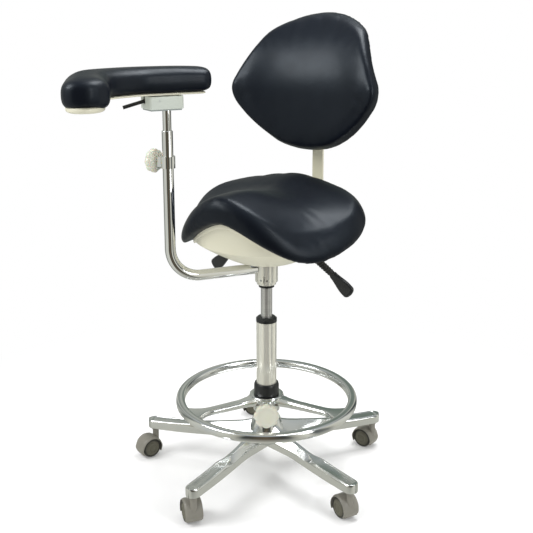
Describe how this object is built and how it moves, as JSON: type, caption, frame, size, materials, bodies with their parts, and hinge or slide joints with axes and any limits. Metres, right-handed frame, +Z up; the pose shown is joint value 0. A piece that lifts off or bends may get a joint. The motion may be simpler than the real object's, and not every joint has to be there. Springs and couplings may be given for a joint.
{
  "type": "dentist saddle stool",
  "caption": "Height-adjustable saddle stool with a wrapped backrest, a curved arm support on a swinging post, a foot ring and a star base on twin-wheel casters.",
  "frame": {"origin": "on the floor, under the column's axis", "axes": "+Z up along the column, -Y towards the saddle's nose, +Y towards the backrest, -X towards the arm support's side"},
  "size_m": [0.6288, 0.8304, 1.1389],
  "materials": {
    "polished_aluminium": "polished cast",
    "chrome": "bright chrome plate",
    "zinc_steel": "zinc plated",
    "satin_steel": "satin ground",
    "cream_paint": "semi-gloss powder coat",
    "cream_plastic": "fine satin moulding",
    "grey_plate": "satin paint",
    "black_plastic": "fine moulded",
    "black_rubber": "matte, ribbed",
    "brass": "turned",
    "plywood": "sanded",
    "upholstery": "smooth synthetic leather, soft gloss",
    "caster_grey": "fine moulded",
    "wheel_grey": "moulded soft tread"
  },
  "bodies": {
    "base": {"base_star": "polished_aluminium", "caster_stems": "zinc_steel", "column_tube": "chrome", "column_guide_bush": "black_plastic", "thrust_bearing": "zinc_steel"},
    "piston": {"piston_rod": "zinc_steel"},
    "lift": {"gas_cylinder": "satin_steel", "mechanism_bracket": "zinc_steel", "mechanism_pins": "zinc_steel", "tilt_spring": "zinc_steel", "collar_stop_ring": "black_plastic"},
    "valve_button": {"valve_button": "zinc_steel"},
    "height_lever": {"height_lever_rod": "zinc_steel", "height_lever_boot": "black_rubber", "height_lever_paddle": "black_plastic"},
    "tilt_lever": {"tilt_lever_rod": "zinc_steel", "tilt_lever_boot": "black_rubber", "tilt_lever_paddle": "black_plastic"},
    "seat": {"tilt_plate": "zinc_steel", "seat_board": "plywood", "seat_shell": "cream_plastic", "seat_cushion": "upholstery", "seat_bolts": "zinc_steel"},
    "backrest_bar": {"backrest_bar": "cream_paint"},
    "backrest": {"backrest_guide": "cream_plastic", "backrest_shell": "cream_plastic", "backrest_cushion": "upholstery", "backrest_screws": "zinc_steel"},
    "foot_ring_carrier": {"foot_ring_bush": "black_plastic"},
    "foot_ring": {"foot_ring": "polished_aluminium"},
    "foot_ring_clamp": {"foot_ring_clamp_pad": "brass"},
    "foot_ring_knob": {"foot_ring_knob": "cream_plastic"},
    "arm": {"arm_collar": "chrome", "collar_screws": "zinc_steel", "arm_tube": "chrome", "arm_clamp_ring": "chrome"},
    "arm_clamp": {"arm_clamp_pad": "brass"},
    "arm_knob": {"arm_clamp_knob": "cream_plastic"},
    "arm_post": {"arm_inner_tube": "chrome"},
    "arm_head": {"arm_head": "cream_plastic", "arm_head_plate": "grey_plate", "arm_lever_pin": "zinc_steel", "arm_pad_base": "cream_plastic", "arm_pad": "upholstery"},
    "arm_release": {"arm_release_lever": "black_plastic"},
    "caster_1": {"caster_housing_1": "caster_grey"},
    "wheel_left_1": {"caster_wheel_left_1": "wheel_grey"},
    "wheel_right_1": {"caster_wheel_right_1": "wheel_grey"},
    "caster_2": {"caster_housing_2": "caster_grey"},
    "wheel_left_2": {"caster_wheel_left_2": "wheel_grey"},
    "wheel_right_2": {"caster_wheel_right_2": "wheel_grey"},
    "caster_3": {"caster_housing_3": "caster_grey"},
    "wheel_left_3": {"caster_wheel_left_3": "wheel_grey"},
    "wheel_right_3": {"caster_wheel_right_3": "wheel_grey"},
    "caster_4": {"caster_housing_4": "caster_grey"},
    "wheel_left_4": {"caster_wheel_left_4": "wheel_grey"},
    "wheel_right_4": {"caster_wheel_right_4": "wheel_grey"},
    "caster_5": {"caster_housing_5": "caster_grey"},
    "wheel_left_5": {"caster_wheel_left_5": "wheel_grey"},
    "wheel_right_5": {"caster_wheel_right_5": "wheel_grey"}
  },
  "joints": [
    {"name": "seat_swivel", "type": "hinge", "parent": "base", "child": "piston", "pos_m": [0, 0, 0.1], "axis": [0, 0, 1], "continuous": true},
    {"name": "seat_height", "type": "slide", "parent": "piston", "child": "lift", "axis": [0, 0, 1], "range_m": [-0.07, 0.13]},
    {"name": "valve_press", "type": "slide", "parent": "lift", "child": "valve_button", "axis": [0, 0, -1], "range_m": [0, 0.0043]},
    {"name": "height_lever_lift", "type": "hinge", "parent": "lift", "child": "height_lever", "pos_m": [0.024, 0, 0.592], "axis": [0, -1, 0], "range_deg": [0, 9], "stiffness_Nm_per_rad": 6, "springref_deg": -6.88},
    {"name": "tilt_lever_lift", "type": "hinge", "parent": "lift", "child": "tilt_lever", "pos_m": [-0.024, 0.018, 0.592], "axis": [0, 1, 0], "range_deg": [0, 9], "stiffness_Nm_per_rad": 6, "springref_deg": -6.88},
    {"name": "seat_tilt", "type": "hinge", "parent": "lift", "child": "seat", "pos_m": [0, -0.025, 0.612], "axis": [1, 0, 0], "range_deg": [-4, 6]},
    {"name": "backrest_tilt", "type": "hinge", "parent": "lift", "child": "backrest_bar", "pos_m": [0, 0.078, 0.579], "axis": [-1, 0, 0], "range_deg": [-5, 14]},
    {"name": "backrest_height", "type": "slide", "parent": "backrest_bar", "child": "backrest", "axis": [0, 0, 1], "range_m": [-0.02, 0.05]},
    {"name": "foot_ring_height", "type": "slide", "parent": "base", "child": "foot_ring_carrier", "axis": [0, 0, 1], "range_m": [-0.02, 0.15]},
    {"name": "foot_ring_turn", "type": "hinge", "parent": "foot_ring_carrier", "child": "foot_ring", "pos_m": [0, 0, 0.2], "axis": [0, 0, 1], "continuous": true},
    {"name": "foot_ring_clamp_slide", "type": "slide", "parent": "foot_ring", "child": "foot_ring_clamp", "axis": [0.5446, -0.8387, 0], "range_m": [0, 0.0031]},
    {"name": "foot_ring_knob_turn", "type": "hinge", "parent": "foot_ring_clamp", "child": "foot_ring_knob", "pos_m": [0.03812, -0.05871, 0.18], "axis": [0.5446, -0.8387, 0], "range_deg": [0, 720]},
    {"name": "arm_swing", "type": "hinge", "parent": "lift", "child": "arm", "pos_m": [0, 0, 0.52], "axis": [0, 0, 1], "range_deg": [-30, 25]},
    {"name": "arm_clamp_slide", "type": "slide", "parent": "arm", "child": "arm_clamp", "axis": [-1, 0, 0], "range_m": [0, 0.0031]},
    {"name": "arm_knob_turn", "type": "hinge", "parent": "arm_clamp", "child": "arm_knob", "pos_m": [-0.16572, -0.19673, 0.8055], "axis": [-1, 0, 0], "range_deg": [0, 720]},
    {"name": "arm_height", "type": "slide", "parent": "arm", "child": "arm_post", "axis": [0, 0, 1], "range_m": [-0.045, 0.09]},
    {"name": "arm_head_turn", "type": "hinge", "parent": "arm_post", "child": "arm_head", "pos_m": [-0.13572, -0.19673, 0.94], "axis": [0, 0, 1], "range_deg": [-60, 45]},
    {"name": "arm_release_lift", "type": "hinge", "parent": "arm_head", "child": "arm_release", "pos_m": [-0.14843, -0.22168, 0.945], "axis": [-0.891, 0.454, 0], "range_deg": [0, 9], "stiffness_Nm_per_rad": 0.6, "springref_deg": -11.46},
    {"name": "caster_1_swivel", "type": "hinge", "parent": "base", "child": "caster_1", "pos_m": [0, -0.302, 0.055], "axis": [0, 0, 1], "continuous": true},
    {"name": "wheel_left_1_roll", "type": "hinge", "parent": "caster_1", "child": "wheel_left_1", "pos_m": [-0.01655, -0.28907, 0.025], "axis": [-0.6157, -0.788, 0], "continuous": true},
    {"name": "wheel_right_1_roll", "type": "hinge", "parent": "caster_1", "child": "wheel_right_1", "pos_m": [-0.01655, -0.28907, 0.025], "axis": [-0.6157, -0.788, 0], "continuous": true},
    {"name": "caster_2_swivel", "type": "hinge", "parent": "base", "child": "caster_2", "pos_m": [0.28722, -0.09332, 0.055], "axis": [0, 0, 1], "continuous": true},
    {"name": "wheel_left_2_roll", "type": "hinge", "parent": "caster_2", "child": "wheel_left_2", "pos_m": [0.26868, -0.08346, 0.025], "axis": [-0.4695, -0.8829, 0], "continuous": true},
    {"name": "wheel_right_2_roll", "type": "hinge", "parent": "caster_2", "child": "wheel_right_2", "pos_m": [0.26868, -0.08346, 0.025], "axis": [-0.4695, -0.8829, 0], "continuous": true},
    {"name": "caster_3_swivel", "type": "hinge", "parent": "base", "child": "caster_3", "pos_m": [0.17751, 0.24432, 0.055], "axis": [0, 0, 1], "continuous": true},
    {"name": "wheel_left_3_roll", "type": "hinge", "parent": "caster_3", "child": "wheel_left_3", "pos_m": [0.15656, 0.24579, 0.025], "axis": [-0.0698, -0.9976, 0], "continuous": true},
    {"name": "wheel_right_3_roll", "type": "hinge", "parent": "caster_3", "child": "wheel_right_3", "pos_m": [0.15656, 0.24579, 0.025], "axis": [-0.0698, -0.9976, 0], "continuous": true},
    {"name": "caster_4_swivel", "type": "hinge", "parent": "base", "child": "caster_4", "pos_m": [-0.17751, 0.24432, 0.055], "axis": [0, 0, 1], "continuous": true},
    {"name": "wheel_left_4_roll", "type": "hinge", "parent": "caster_4", "child": "wheel_left_4", "pos_m": [-0.19725, 0.23714, 0.025], "axis": [0.342, -0.9397, 0], "continuous": true},
    {"name": "wheel_right_4_roll", "type": "hinge", "parent": "caster_4", "child": "wheel_right_4", "pos_m": [-0.19725, 0.23714, 0.025], "axis": [0.342, -0.9397, 0], "continuous": true},
    {"name": "caster_5_swivel", "type": "hinge", "parent": "base", "child": "caster_5", "pos_m": [-0.28722, -0.09332, 0.055], "axis": [0, 0, 1], "continuous": true},
    {"name": "wheel_left_5_roll", "type": "hinge", "parent": "caster_5", "child": "wheel_left_5", "pos_m": [-0.2944, -0.11306, 0.025], "axis": [0.9397, -0.342, 0], "continuous": true},
    {"name": "wheel_right_5_roll", "type": "hinge", "parent": "caster_5", "child": "wheel_right_5", "pos_m": [-0.2944, -0.11306, 0.025], "axis": [0.9397, -0.342, 0], "continuous": true}
  ],
  "couplings": [
    {"joint": "valve_press", "follows": "height_lever_lift", "m_per_rad": 0.0268},
    {"joint": "foot_ring_clamp_slide", "follows": "foot_ring_knob_turn", "m_per_rad": 0.00023873},
    {"joint": "arm_clamp_slide", "follows": "arm_knob_turn", "m_per_rad": 0.00023873}
  ]
}
